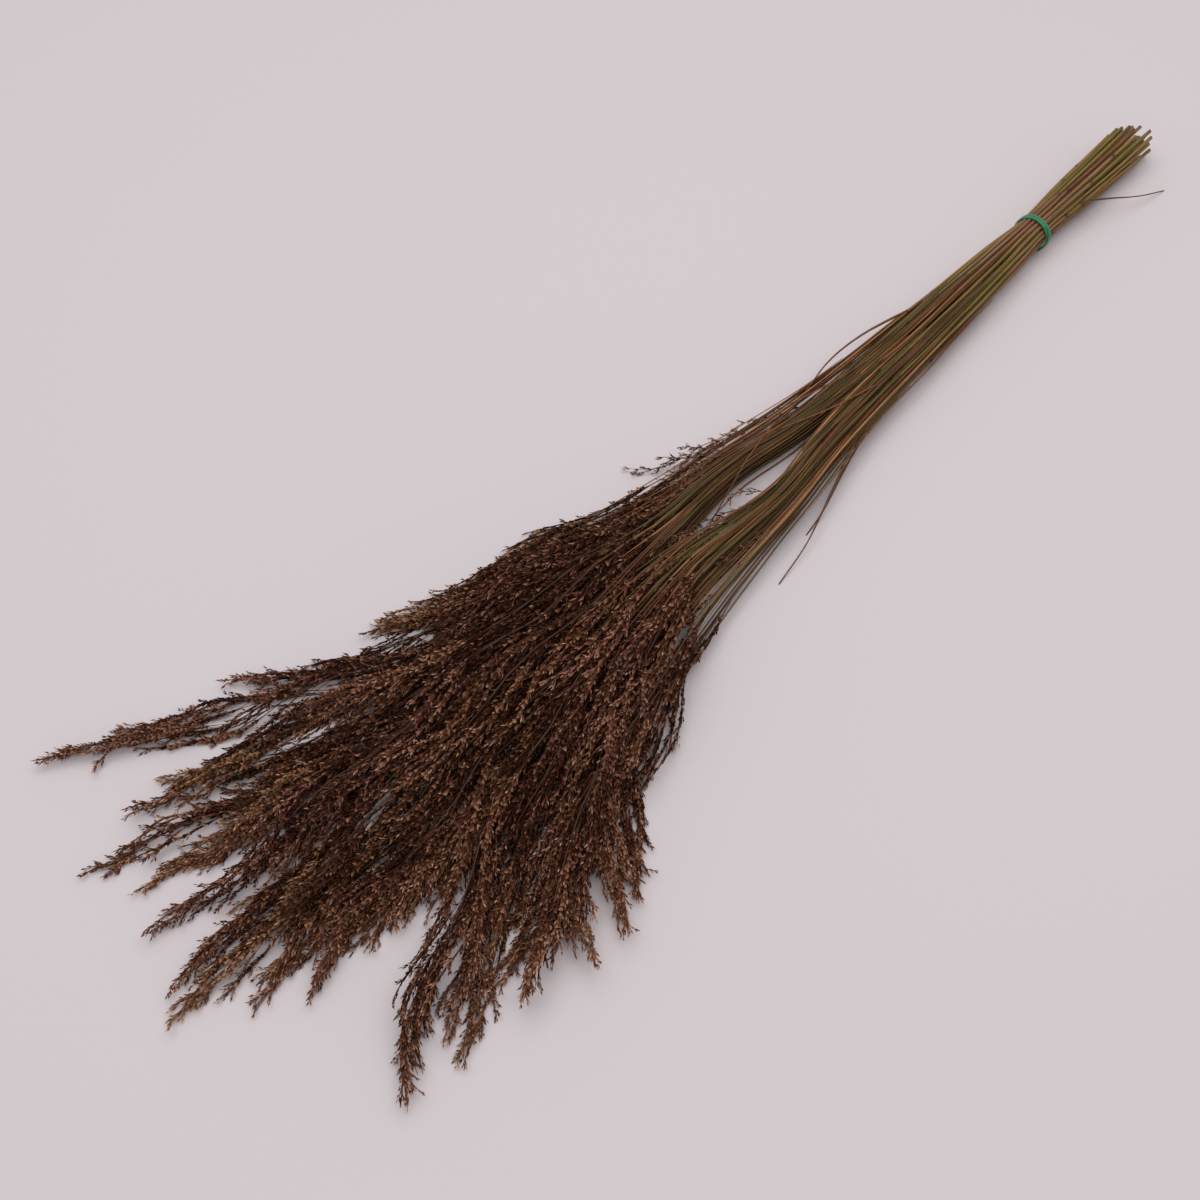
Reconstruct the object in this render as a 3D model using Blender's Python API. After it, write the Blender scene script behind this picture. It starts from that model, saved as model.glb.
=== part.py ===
"""Bundle of reed grass: forty-eight dried reeds tied with a green rubber band, lying flat.

Each reed is one grown piece: a thin culm that swells into its flower plume. The culms are packed
in rings under the band, splay a little at the cut ends, part into two sheaves at a fork, and fan
out in locks of plumes that rest on the surface and on each other. A few dry leaf blades, rolled
up as they dried, lie between and beside the culms.

Metres, +Z up, +X towards the cut ends, the origin at the centre of the footprint.
"""
import math
from collections import namedtuple

import bpy
import numpy as np

SEED = 23
CLEARANCE = 0.0003

# Places along the bundle, as x. The stations are where a reed's tube has its rings.
CUT_END_X = 0.390
CUT_STAGGER = 0.024
BAND_X = 0.266
FORK_X = -0.006
FORK_Y = -0.0120
FORK_LENGTH = 0.056
FORK_HALF_GAP = 0.0120
CULM_STATIONS = (0.405, 0.345, 0.303, BAND_X, 0.231, 0.187, 0.140, 0.090, 0.045)
PLUME_STATIONS = (0.005, -0.030, -0.062, -0.094, -0.126, -0.158, -0.190, -0.222, -0.254,
                  -0.286, -0.318, -0.350, -0.378, -0.402)
SHORTEST_STEP = 0.010

# The packed culms under the band.
CULM_RINGS = (3, 9, 15, 21)
CULM_RADIUS_CUT = 0.00120
CULM_RADIUS_BAND = 0.00105
CULM_RADIUS_TOP = 0.00075
CULM_THINNEST = 0.90
CULM_PITCH = 2 * CULM_RADIUS_BAND + CLEARANCE + 0.00005
FIRST_RING_RADIUS = CULM_PITCH / math.sqrt(3)
PACKED_RADIUS = FIRST_RING_RADIUS + (len(CULM_RINGS) - 1) * CULM_PITCH
BUNDLE_Y = -0.0130

# The rubber band: one closed loop wound twice, with one turn crossing over the other behind.
BAND_THICKNESS = 0.0015
BAND_RADIUS = PACKED_RADIUS + CULM_RADIUS_BAND + CLEARANCE + BAND_THICKNESS / 2
BAND_TURN_OFFSET = 0.00085
BAND_POINTS = 52
BAND_LEAN = 0.16
CROSSING_ANGLE = math.radians(160)
CROSSING_WIDTH = math.radians(52)
CROSSING_SHARPNESS = 3.0
CROSSING_LIFT = 0.00165
BUNDLE_Z = BAND_RADIUS + BAND_THICKNESS / 2

# How the culms spread either side of the band, and how high the plumes heap up.
SHEAF_SPREAD = 0.90
SHEAF_LENGTH = 0.090
SHEAF_FLATNESS = 0.75
END_SPLAY = 0.50
END_SPLAY_HEIGHT = 0.10
HEAP_START_X = 0.060
HEAP_FULL_X = -0.110
HEAP_END_X = -0.394
HEAP_START_HEIGHT = 0.026
HEAP_HEIGHT = 0.038
HEAP_END_HEIGHT = 0.013
TIP_DROOP = 0.60
TIP_DROOP_START = 0.70

# A plume's thickness, and where it is fullest on its own length.
PLUME_RADIUS = 0.0037
PLUME_TIP_RADIUS = 0.0006
PLUME_FULLEST = 0.50
PLUME_BASE_X = -0.030
PLUME_BASE_BY_REACH = 0.18
PLUME_BASE_BY_SIDE = 0.27
PLUME_MEAN_REACH = -0.300
PLUME_BASE_SCATTER = 0.020

# A lock is a group of reeds whose plumes lie together: how far its tips reach in x and to the
# side in y, how late it bends outwards, and how many reeds it has. The culms of the locks lie
# side by side under the band in the order that the locks have at LOCK_ORDER_X.
Lock = namedtuple("Lock", "reach side curl reeds")
LOCKS = (
    Lock(-0.196, 0.062, 2.5, 3),
    Lock(-0.260, 0.093, 5.2, 2),
    Lock(-0.346, 0.126, 4.2, 2),
    Lock(-0.314, 0.119, 4.2, 2),
    Lock(-0.338, 0.073, 4.0, 4),
    Lock(-0.367, 0.063, 4.2, 3),
    Lock(-0.358, 0.040, 4.4, 2),
    Lock(-0.370, 0.020, 2.8, 3),
    Lock(-0.379, -0.002, 2.2, 2),
    Lock(-0.390, -0.020, 2.0, 3),
    Lock(-0.362, -0.042, 2.6, 3),
    Lock(-0.338, -0.050, 2.8, 3),
    Lock(-0.312, -0.056, 3.0, 4),
    Lock(-0.352, -0.117, 4.6, 3),
    Lock(-0.323, -0.124, 4.0, 3),
    Lock(-0.290, -0.120, 3.6, 3),
    Lock(-0.216, -0.126, 7.5, 1),
    Lock(-0.237, -0.134, 6.6, 1),
    Lock(-0.259, -0.133, 6.0, 1),
)
LOCK_WIDTH = 0.016
LOCK_SHORTEST = 0.062
LOCK_ORDER_X = -0.120
TIP_HOOK = 0.004
TIP_HOOK_START = 0.80

# How the reeds are eased apart until none touches: passes, steps looked at between stations,
# how strongly each pass stays smooth along a reed, and the last passes that only make room.
EASING_PASSES = 600
EASING_LAST_PASSES = 150
EASING_STEPS = 4
EASING_SMOOTHNESS = 0.25
EASING_MARGIN = 0.00012

# A leaf blade: the points (x, y) of its route from root to tip, seen from above.
BLADES = (
    ((0.304, -0.0235), (0.324, -0.032), (0.346, -0.042), (0.368, -0.048)),
    ((0.158, 0.001), (0.126, 0.009), (0.098, 0.011), (0.071, 0.007)),
    ((0.096, -0.022), (0.066, -0.014), (0.036, -0.003), (0.020, 0.001)),
    ((0.064, 0.005), (0.036, 0.002), (0.000, -0.004), (-0.036, -0.009)),
    ((0.072, -0.034), (0.040, -0.041), (0.016, -0.047), (-0.001, -0.049)),
    ((0.058, -0.035), (0.024, -0.045), (-0.008, -0.054), (-0.036, -0.058)),
)
BLADE_RADIUS = 0.0007
BLADE_TIP_RADIUS = 0.0003
BLADE_POINTS = 12
BLADE_LOOKS = 6

CULM_COLOUR = (0.153, 0.106, 0.048)
BLADE_COLOUR = (0.290, 0.115, 0.038)
RUBBER_COLOUR = (0.030, 0.270, 0.110)


def smooth_step(amount):
    """0 up to 0, 1 from 1 on, and an even S-bend between."""
    amount = np.clip(amount, 0.0, 1.0)
    return amount * amount * (3.0 - 2.0 * amount)


def culm_slots(random):
    """(y, z) of each culm in the packed round, from its left side to its right."""
    slots = []
    for ring, count in enumerate(CULM_RINGS):
        radius = FIRST_RING_RADIUS + ring * CULM_PITCH
        turn = random.uniform(0.0, 2 * math.pi)
        for place in range(count):
            angle = turn + 2 * math.pi * place / count
            slots.append((radius * math.cos(angle), radius * math.sin(angle)))
    slots.sort(reverse=True)
    return np.array(slots)


def side_at(lock, x):
    """How far to the side a lock has bent by the time it has come to x."""
    return lock.side * ((BAND_X - x) / (BAND_X - lock.reach)) ** lock.curl


class Reeds:
    """The reeds as arrays: one row for each reed, one column for each station along x."""

    def __init__(self, random):
        members = [(lock, place) for lock in LOCKS for place in range(lock.reeds)]
        members.sort(key=lambda member: -side_at(member[0], LOCK_ORDER_X))
        self.slots = culm_slots(random)
        self.count = len(members)
        column = np.sqrt((PACKED_RADIUS + CULM_RADIUS_BAND) ** 2 - self.slots[:, 0] ** 2)
        self.height = (self.slots[:, 1] + column) / (2 * column)

        self.curl = np.array([lock.curl for lock, place in members])
        longest = np.array([lock.reach for lock, place in members])
        widest = np.array([lock.side for lock, place in members])
        shortened = np.array([place > 0 for lock, place in members])
        self.reach = longest + shortened * LOCK_SHORTEST * (0.25 + 0.75 * self.height)
        along_lock = (BAND_X - self.reach) / (BAND_X - longest)
        spread = np.array([place / max(lock.reeds - 1, 1) - 0.5 for lock, place in members])
        self.side = BUNDLE_Y + (widest - BUNDLE_Y) * along_lock**self.curl - spread * LOCK_WIDTH
        self.hook = random.uniform(-TIP_HOOK, TIP_HOOK, self.count)
        self.cut = CUT_END_X - CUT_STAGGER * random.uniform(0.0, 1.0, self.count) ** 1.5
        self.cut[self.count // 2] = CUT_END_X
        self.thin = random.uniform(CULM_THINNEST, 1.0, self.count)
        self.base = (
            PLUME_BASE_X
            + PLUME_BASE_BY_REACH * (self.reach - PLUME_MEAN_REACH)
            + PLUME_BASE_BY_SIDE * self.side
            + random.uniform(-PLUME_BASE_SCATTER, PLUME_BASE_SCATTER, self.count)
        )
        self.x = np.array(CULM_STATIONS + PLUME_STATIONS)
        self.y = self.fanned_out()
        self.z = self.heaped_up()

    def radius(self, x):
        """Half a reed's thickness at each x: the tapering culm, then the spindle of the plume."""
        x = np.broadcast_to(x, (self.count, len(x)))
        base = self.base[:, None]
        reach = self.reach[:, None]
        below = (CUT_END_X - x) / (CUT_END_X - BAND_X)
        above = np.clip((BAND_X - x) / (BAND_X - base), 0.0, 1.0)
        culm = CULM_RADIUS_CUT + (CULM_RADIUS_BAND - CULM_RADIUS_CUT) * np.clip(below, 0.0, 1.0)
        culm = (culm + (CULM_RADIUS_TOP - CULM_RADIUS_BAND) * above) * self.thin[:, None]
        along = np.clip((base - x) / (base - reach), 0.0, 1.0)
        swelling = np.sin(math.pi * along ** (math.log(0.5) / math.log(PLUME_FULLEST))) ** 0.9
        fullness = 0.75 + 0.25 * np.clip((base - reach) / 0.30, 0.0, 1.0)
        tip = (PLUME_TIP_RADIUS - CULM_RADIUS_TOP * self.thin[:, None]) * along
        return culm + tip + (PLUME_RADIUS - CULM_RADIUS_TOP) * fullness * swelling

    def fanned_out(self):
        """y at each station: spread from the band, parted at the fork, then out to the side."""
        x = self.x[None, :]
        slot = self.slots[:, :1]
        past_band = np.clip(BAND_X - x, 0.0, None)
        past_cut = np.clip(x - BAND_X, 0.0, None) / (CUT_END_X - BAND_X)
        spread = 1 + SHEAF_SPREAD * (1 - np.exp(-past_band / SHEAF_LENGTH)) + END_SPLAY * past_cut
        along = np.clip(past_band / (BAND_X - self.reach[:, None]), 0.0, 1.1)
        outwards = self.side[:, None] - BUNDLE_Y - (1 + SHEAF_SPREAD) * slot
        y = BUNDLE_Y + slot * spread + outwards * along ** self.curl[:, None]
        hooked = np.clip((along - TIP_HOOK_START) / (1 - TIP_HOOK_START), 0.0, None) ** 2
        y = y + self.hook[:, None] * hooked
        gap = FORK_HALF_GAP * np.exp(-(((x - FORK_X) / FORK_LENGTH) ** 2))
        sheaf = np.where(np.arange(self.count) < self.count / 2, 1.0, -1.0)[:, None]
        reach_from_fork = np.maximum(sheaf * (y - FORK_Y), 0.0)
        parted = FORK_Y + sheaf * np.hypot(reach_from_fork, gap)
        return np.where(gap > FORK_HALF_GAP / 20, parted, y)

    def heaped_up(self):
        """z at each station: the culms' round, laid flatter, then the dome of the plumes."""
        x = self.x[None, :]
        past_band = np.clip(BAND_X - x, 0.0, None)
        past_cut = np.clip(x - BAND_X, 0.0, None) / (CUT_END_X - BAND_X)
        flat = 1 - (1 - SHEAF_FLATNESS) * smooth_step(past_band / (BAND_X - FORK_X))
        culm_z = BUNDLE_Z * flat + self.slots[:, 1:] * (flat + END_SPLAY_HEIGHT * past_cut)

        left = self.y.max(axis=0)
        right = self.y.min(axis=0)
        off_centre = (2 * self.y - left - right) / (left - right)
        rise = smooth_step((HEAP_START_X - x) / (HEAP_START_X - HEAP_FULL_X))
        fall = np.clip((HEAP_FULL_X - x) / (HEAP_FULL_X - HEAP_END_X), 0.0, 1.0) ** 2
        crest = HEAP_START_HEIGHT + (HEAP_HEIGHT - HEAP_START_HEIGHT) * rise
        crest = crest + (HEAP_END_HEIGHT - HEAP_HEIGHT) * fall
        dome = crest * np.sqrt(1 - 0.97 * off_centre**2)
        room = np.clip(dome - 2 * PLUME_RADIUS, 0.0, None)
        along = past_band / (BAND_X - self.reach[:, None])
        droop = 1 - TIP_DROOP * smooth_step((along - TIP_DROOP_START) / (1 - TIP_DROOP_START))
        plume_z = (PLUME_RADIUS + self.height[:, None] * room) * droop
        return culm_z + (plume_z - culm_z) * rise

    def ease_apart(self):
        """Move each reed aside, or up from the surface, until it clears all the others.

        At many x between the stations each reed is a disc seen along the bundle. Two discs that
        are too near push each other apart by half of what they lack, and each push is shared
        between the two stations that it lies between. Under the band nothing moves.
        """
        fine = len(self.x) * EASING_STEPS - EASING_STEPS + 1
        share = np.zeros((fine, len(self.x)))
        for row in range(fine):
            station, step = divmod(row, EASING_STEPS)
            share[row, station] = 1 - step / EASING_STEPS
            if step:
                share[row, station + 1] = step / EASING_STEPS
        x = share @ self.x
        weight = share.sum(axis=0)
        loose = (np.abs(self.x - BAND_X) > 0.001).astype(float)
        radius = self.radius(x)
        present = (x[None, :] > self.reach[:, None] - 0.004) & (x[None, :] < self.cut[:, None])
        needed = radius[:, None, :] + radius[None, :, :] + CLEARANCE + EASING_MARGIN
        needed = needed * (present[:, None, :] & present[None, :, :])
        needed[np.arange(self.count), np.arange(self.count), :] = 0.0
        floor = np.max(np.where(present, radius, 0.0)[:, :, None] * (share > 0)[None], axis=1)
        first_y = self.y.copy()
        first_z = self.z.copy()
        for sweep in range(EASING_PASSES):
            slope = np.gradient(self.y @ share.T, x, axis=1)
            level = 1 / np.sqrt(1 + ((slope[:, None, :] + slope[None, :, :]) / 2) ** 2)
            fine_y = self.y @ share.T
            fine_z = self.z @ share.T
            across = (fine_y[:, None, :] - fine_y[None, :, :]) * level
            upwards = fine_z[:, None, :] - fine_z[None, :, :]
            apart = np.hypot(across, upwards) + 1e-9
            lacking = np.clip(needed - apart, 0.0, None) / 2
            push_y = (lacking * across / apart).sum(axis=1) @ share / weight
            push_z = (lacking * upwards / apart).sum(axis=1) @ share / weight
            self.y = self.y + push_y * loose
            self.z = self.z + push_z * loose
            if sweep < EASING_PASSES - EASING_LAST_PASSES:
                self.y = first_y + self.evened(self.y - first_y) * loose
                self.z = first_z + self.evened(self.z - first_z) * loose
            self.z = np.maximum(self.z, floor)
        return lacking.max() * 2

    def evened(self, moved):
        """Each station's move drawn towards the mean of the moves at the stations beside it."""
        beside = (np.roll(moved, 1, axis=1) + np.roll(moved, -1, axis=1)) / 2
        beside[:, 0] = moved[:, 1]
        beside[:, -1] = moved[:, -2]
        return moved + EASING_SMOOTHNESS * (beside - moved)

    def place_at(self, x):
        """Each reed's (y, z) and radius at one x, with a radius of 0 where it has ended."""
        y = np.array([np.interp(-x, -self.x, row) for row in self.y])
        z = np.array([np.interp(-x, -self.x, row) for row in self.z])
        radius = self.radius(np.array([x]))[:, 0]
        return y, z, np.where((x > self.reach) & (x < self.cut), radius, 0.0)

    def route(self, reed):
        """The reed's points from its cut end to its tip, and its radius at each."""
        inner = (self.x < self.cut[reed] - SHORTEST_STEP) & (self.x > self.reach[reed] + SHORTEST_STEP)
        x = np.concatenate(([self.cut[reed]], self.x[inner], [self.reach[reed]]))
        y = np.interp(-x, -self.x, self.y[reed])
        z = np.interp(-x, -self.x, self.z[reed])
        return np.stack((x, y, z), axis=1), self.radius(x)[reed]


def blade_route(corners, reeds, laid):
    """A blade's points and radii: a stiff strip that rests on the highest things under it."""
    corners = np.array(corners)
    looks = (BLADE_POINTS - 1) * BLADE_LOOKS + 1
    place = np.linspace(0.0, len(corners) - 1, looks)
    x, y = (smooth_through(corners[:, axis], place) for axis in range(2))
    radius = np.linspace(BLADE_RADIUS, BLADE_TIP_RADIUS, looks)
    under = np.array([rest_height(*at, reeds, laid) for at in zip(x, y, radius)])
    beside = [under[max(look - BLADE_LOOKS, 0):look + BLADE_LOOKS + 1].max()
              for look in range(0, looks, BLADE_LOOKS)]
    x, y, radius = x[::BLADE_LOOKS], y[::BLADE_LOOKS], radius[::BLADE_LOOKS]
    return np.stack((x, y, strip_over(x, np.array(beside))), axis=1), radius


def rest_height(x, y, radius, reeds, laid):
    """How high a blade's centre is at (x, y) when it lies on the reeds, blades or surface."""
    other_y, other_z, other_radius = np.concatenate((reeds.place_at(x), blades_at(x, laid)), axis=1)
    room = other_radius + radius + CLEARANCE + EASING_MARGIN
    over = (other_radius > 0) & (np.abs(y - other_y) < room)
    tops = other_z[over] + np.sqrt(room[over] ** 2 - (y - other_y[over]) ** 2)
    return max(radius, *tops) if len(tops) else radius


def strip_over(x, height):
    """The lowest strip over all the heights that bends only downwards."""
    lifted = height.copy()
    for first in range(len(x)):
        for last in range(first + 2, len(x)):
            part = (x[first:last + 1] - x[first]) / (x[last] - x[first])
            straight = height[first] + (height[last] - height[first]) * part
            lifted[first:last + 1] = np.maximum(lifted[first:last + 1], straight)
    return lifted


def blades_at(x, laid):
    """The laid blades' (y, z) and radius at one x, with a radius of 0 where a blade has ended."""
    found = np.zeros((3, len(laid)))
    for column, (route, radius) in enumerate(laid):
        order = np.argsort(route[:, 0])
        for row, values in enumerate((route[:, 1], route[:, 2], radius)):
            found[row, column] = np.interp(x, route[order, 0], values[order])
        if not route[:, 0].min() <= x <= route[:, 0].max():
            found[2, column] = 0.0
    return found


def smooth_through(values, place):
    """Catmull-Rom: a smooth curve through the values, read at places counted in whole steps."""
    padded = np.concatenate(([2 * values[0] - values[1]], values, [2 * values[-1] - values[-2]]))
    start = np.minimum(place.astype(int), len(values) - 2)
    part = place - start
    before, first, second, after = (padded[start + shift] for shift in range(4))
    bend = 2 * before - 5 * first + 4 * second - after
    twist = 3 * first - before - 3 * second + after
    return 0.5 * (2 * first + (second - before) * part + bend * part**2 + twist * part**3)


def finish(name, colour, roughness):
    """A plain material with the part's colour and roughness."""
    material = bpy.data.materials.new(name)
    material.use_nodes = True
    shader = material.node_tree.nodes["Principled BSDF"]
    shader.inputs["Base Color"].default_value = (*colour, 1.0)
    shader.inputs["Roughness"].default_value = roughness
    shader.inputs["Metallic"].default_value = 0.0
    return material


def tube(name, points, radii, material, collection, closed=False):
    """A six-sided tube through the points, with flat ends unless it is closed."""
    curve = bpy.data.curves.new(name, "CURVE")
    curve.dimensions = "3D"
    curve.bevel_depth = max(radii)
    curve.bevel_resolution = 1
    curve.use_fill_caps = True
    spline = curve.splines.new("POLY")
    spline.points.add(len(points) - 1)
    spline.use_cyclic_u = closed
    for point, place, radius in zip(spline.points, points, radii):
        point.co = (*place, 1.0)
        point.radius = radius / curve.bevel_depth
    curve.materials.append(material)
    thing = bpy.data.objects.new(name, curve)
    collection.objects.link(thing)
    return thing


def rubber_band_route():
    """Points of a loop that goes twice round the culms, crossing over itself once."""
    angle = np.arange(BAND_POINTS) * 4 * math.pi / BAND_POINTS
    half_way = np.cos(angle / 2)
    offset = BAND_TURN_OFFSET * np.tanh(CROSSING_SHARPNESS * half_way) / math.tanh(CROSSING_SHARPNESS)
    radius = BAND_RADIUS + CROSSING_LIFT * np.exp(-(((angle - math.pi) / CROSSING_WIDTH) ** 2))
    turned = angle + CROSSING_ANGLE - math.pi
    y = BUNDLE_Y + radius * np.cos(turned)
    z = radius * np.sin(turned)
    x = BAND_X + offset + BAND_LEAN * z
    return np.stack((x, y, z + BUNDLE_Z), axis=1)


def build():
    for thing in list(bpy.data.objects):
        bpy.data.objects.remove(thing)
    bundle = bpy.data.collections.new("reed_grass_bundle")
    bpy.context.scene.collection.children.link(bundle)
    culm = finish("dried_culm", CULM_COLOUR, 0.62)
    blade = finish("dry_leaf_blade", BLADE_COLOUR, 0.70)
    rubber = finish("green_rubber", RUBBER_COLOUR, 0.45)

    reeds = Reeds(np.random.default_rng(SEED))
    print("still lacking", round(reeds.ease_apart() * 1000, 3), "mm")
    for reed in range(reeds.count):
        points, radii = reeds.route(reed)
        tube(f"reed_{reed + 1:02d}", points, radii, culm, bundle)
    laid = []
    for number, corners in enumerate(BLADES, start=1):
        laid.append(blade_route(corners, reeds, laid))
        tube(f"leaf_blade_{number}", *laid[-1], blade, bundle)
    turns = rubber_band_route()
    tube("rubber_band", turns, [BAND_THICKNESS / 2] * len(turns), rubber, bundle, closed=True)


build()
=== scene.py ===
"""A bundle of cut and dried reed grass on a table: thin culms in a rubber band, brown plumes fanned out."""

import math

import bpy
import numpy as np
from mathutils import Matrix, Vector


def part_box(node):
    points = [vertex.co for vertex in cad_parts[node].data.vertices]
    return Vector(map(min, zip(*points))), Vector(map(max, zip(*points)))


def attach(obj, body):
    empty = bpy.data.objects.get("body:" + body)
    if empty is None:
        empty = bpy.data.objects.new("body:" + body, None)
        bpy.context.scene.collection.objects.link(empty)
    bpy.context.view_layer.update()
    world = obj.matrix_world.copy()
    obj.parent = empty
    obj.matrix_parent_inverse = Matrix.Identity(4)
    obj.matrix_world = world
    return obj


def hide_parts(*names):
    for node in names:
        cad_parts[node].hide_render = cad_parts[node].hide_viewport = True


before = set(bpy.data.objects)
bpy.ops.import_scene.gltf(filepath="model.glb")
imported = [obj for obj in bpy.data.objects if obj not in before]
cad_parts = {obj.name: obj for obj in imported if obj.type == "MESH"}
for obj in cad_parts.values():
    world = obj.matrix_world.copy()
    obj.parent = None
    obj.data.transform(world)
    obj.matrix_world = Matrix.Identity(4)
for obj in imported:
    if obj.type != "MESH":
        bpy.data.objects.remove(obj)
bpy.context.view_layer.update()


# The view: from over the flowering end, a little to the right of the bunch, looking down along the
# culms to the cut ends, 40 degrees wide.
VIEW_PLACE = (-0.482, -0.3294, 0.655)
VIEW_DOWN = math.radians(52.4)
VIEW_HEADING = math.atan2(0.7514, 0.6598)
VIEW_WIDTH = math.radians(40.0)

lens = bpy.data.cameras.new("view_lens")
lens.sensor_width = 36.0
lens.lens = 18.0 / math.tan(VIEW_WIDTH / 2)
lens.clip_start = 0.02
lens.clip_end = 20.0
viewer = bpy.data.objects.new("viewer", lens)
viewer.location = VIEW_PLACE
viewer.rotation_euler = (math.pi / 2 - VIEW_DOWN, 0.0, -VIEW_HEADING)
bpy.context.scene.collection.objects.link(viewer)
bpy.context.scene.camera = viewer
bpy.context.scene.view_settings.view_transform = "Standard"


# The table: a plain sheet of pale card, matt, a little pink, far larger than the bunch.
TABLE_REACH = 3.0
TABLE_COLOUR = (0.745, 0.676, 0.700, 1.0)

card_mesh = bpy.data.meshes.new("table_card")
card_mesh.from_pydata(
    [
        (-TABLE_REACH, -TABLE_REACH, 0),
        (TABLE_REACH, -TABLE_REACH, 0),
        (TABLE_REACH, TABLE_REACH, 0),
        (-TABLE_REACH, TABLE_REACH, 0),
    ],
    [],
    [(0, 1, 2, 3)],
)
card = bpy.data.objects.new("table_card", card_mesh)
bpy.context.scene.collection.objects.link(card)
card_finish = bpy.data.materials.new("pale_card")
card_finish.use_nodes = True
card_shader = card_finish.node_tree.nodes["Principled BSDF"]
card_shader.inputs["Base Color"].default_value = TABLE_COLOUR
card_shader.inputs["Roughness"].default_value = 0.9
card_shader.inputs["Specular IOR Level"].default_value = 0.2
card_mesh.materials.append(card_finish)


# The light: one soft box 2.6 metres wide, hung 1.9 metres over the bunch and a little towards its cut
# ends, and the pale walls of the room all round it.
SOFT_BOX_PLACE = (0.10, 0.06, 1.90)
SOFT_BOX_SIDE = 2.6
SOFT_BOX_WATTS = 27.5
ROOM_COLOUR = (1.0, 0.99, 0.99, 1.0)
ROOM_STRENGTH = 0.42

box_light = bpy.data.lights.new("soft_box", "AREA")
box_light.shape = "SQUARE"
box_light.size = SOFT_BOX_SIDE
box_light.energy = SOFT_BOX_WATTS
soft_box = bpy.data.objects.new("soft_box", box_light)
soft_box.location = SOFT_BOX_PLACE
soft_box.rotation_euler = (-math.atan2(SOFT_BOX_PLACE[1], SOFT_BOX_PLACE[2]), 0.0, 0.0)
bpy.context.scene.collection.objects.link(soft_box)
room = bpy.data.worlds.new("pale_room")
room.use_nodes = True
room.node_tree.nodes["Background"].inputs["Color"].default_value = ROOM_COLOUR
room.node_tree.nodes["Background"].inputs["Strength"].default_value = ROOM_STRENGTH
bpy.context.scene.world = room


# The culms: the hollow jointed stalks of the grass, cut off roughly square and dried. They are olive to
# straw brown, streaked along their length, with dark joints and the papery foot of a leaf sheath
# above each joint. Each thins from its cut end to the tip of its plume.
RING_GAP = 0.004
CULM_SIDES = 8
CULM_SLIMMING = 0.26
SLIMS_FROM = 0.14
CULM_RINGS = 38
CULM_FINE_STEPS = 640
CULM_COLUMNS = 5
PLUME_FROM_RADIUS = 0.0013
TIP_RADIUS = 0.00020
WALL_SHARE = 0.52
HOLLOW_DEPTH = 0.0016
CUT_LEAN = 0.5
CULM_SWAY = 0.00022
SWAY_PITCHES = (62.0, 87.0)
LOW_JOINT = (0.015, 0.095)
HIGH_JOINT = (0.16, 0.30)
JOINT_STEPS = np.array([-0.0030, -0.0012, -0.0004, 0.0006, 0.0014, 0.0040])
JOINT_REACH = 0.0014
JOINT_SWELL = 0.15
SHEATH_LENGTH = (0.030, 0.120)
SHEATH_EDGE = 0.0015
SHEATH_CHANCE = 0.7
SHEATH_THICKNESS = 0.00010
PLUME_WAVE = 0.0030
WAVE_GROWS_OVER = 0.10
WAVE_PITCH = (42.0, 70.0)
CULM_RIPENESS = (-0.44, 0.28)
RIPER_UPWARDS = 0.10
RIPER_IN_PLUME = 0.90
GRAIN_APART = 2.7
CULM_COLOURS = (
    (0.00, (0.155, 0.130, 0.026)),
    (0.25, (0.225, 0.145, 0.042)),
    (0.48, (0.300, 0.170, 0.064)),
    (0.70, (0.205, 0.088, 0.036)),
    (1.00, (0.075, 0.027, 0.013)),
)
PALE_END = (0.10, 0.30)
PALE_END_TINT = (1.32, 1.16, 1.06, 1.0)
SPECK_COLOUR = (0.070, 0.028, 0.014)
JOINT_COLOUR = (0.035, 0.012, 0.010)
SHEATH_COLOUR = (0.260, 0.135, 0.085)


def rings_of(node, gap):
    """The rings that a solid is skinned over, from its cut end to its tip: the node's corners in order
    of x, parted wherever the next lies more than the gap further on. Gives the mean place of each ring
    and the mean distance of its corners from there."""
    corners = np.empty(len(node.data.vertices) * 3)
    node.data.vertices.foreach_get("co", corners)
    corners = np.unique(corners.reshape(-1, 3).round(5), axis=0)
    corners = corners[np.argsort(corners[:, 0])]
    ring = np.r_[0, np.cumsum(np.diff(corners[:, 0]) > gap)]
    count = np.bincount(ring)
    middle = np.stack([np.bincount(ring, axis) / count for axis in corners.T], 1)
    radius = np.bincount(ring, np.linalg.norm(corners - middle[ring], axis=1)) / count
    return middle[::-1], radius[::-1]


def smooth_through(knots, at):
    """A smooth line through knots (Catmull-Rom): between two knots it is the cubic whose slope at each is
    half of the step between that knot's neighbours. at counts knots, such as 2.5 half way from 2 to 3."""
    padded = np.vstack([2 * knots[0] - knots[1], knots, 2 * knots[-1] - knots[-2]])
    first = np.clip(at.astype(int), 0, len(knots) - 2)
    f = (at - first)[:, None]
    a, b, c, d = (padded[first + step] for step in range(4))
    return 0.5 * (2 * b + (c - a) * f + (2 * a - 5 * b + 4 * c - d) * f**2 + (3 * b - a - 3 * c + d) * f**3)


def unit(vectors):
    """Each vector over its own length."""
    return vectors / np.maximum(np.linalg.norm(vectors, axis=-1, keepdims=True), 1e-12)


def line_along(places, radius, steps):
    """A line to build along: places laid out again in even steps of length, with the line's direction,
    the level direction square to it, and the direction square to both, which is upwards."""
    gone = np.r_[0, np.cumsum(np.linalg.norm(np.diff(places, axis=0), axis=1))]
    length = np.linspace(0, gone[-1], steps)
    even = np.stack([np.interp(length, gone, axis) for axis in places.T], 1)
    along = unit(np.gradient(even, axis=0))
    side = unit(np.cross(along, (0.0, 0.0, 1.0)))
    up = np.cross(side, along)
    line = {"length": length, "place": even, "radius": np.interp(length, gone, radius)}
    return line | {"along": along, "side": side, "up": up}


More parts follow.
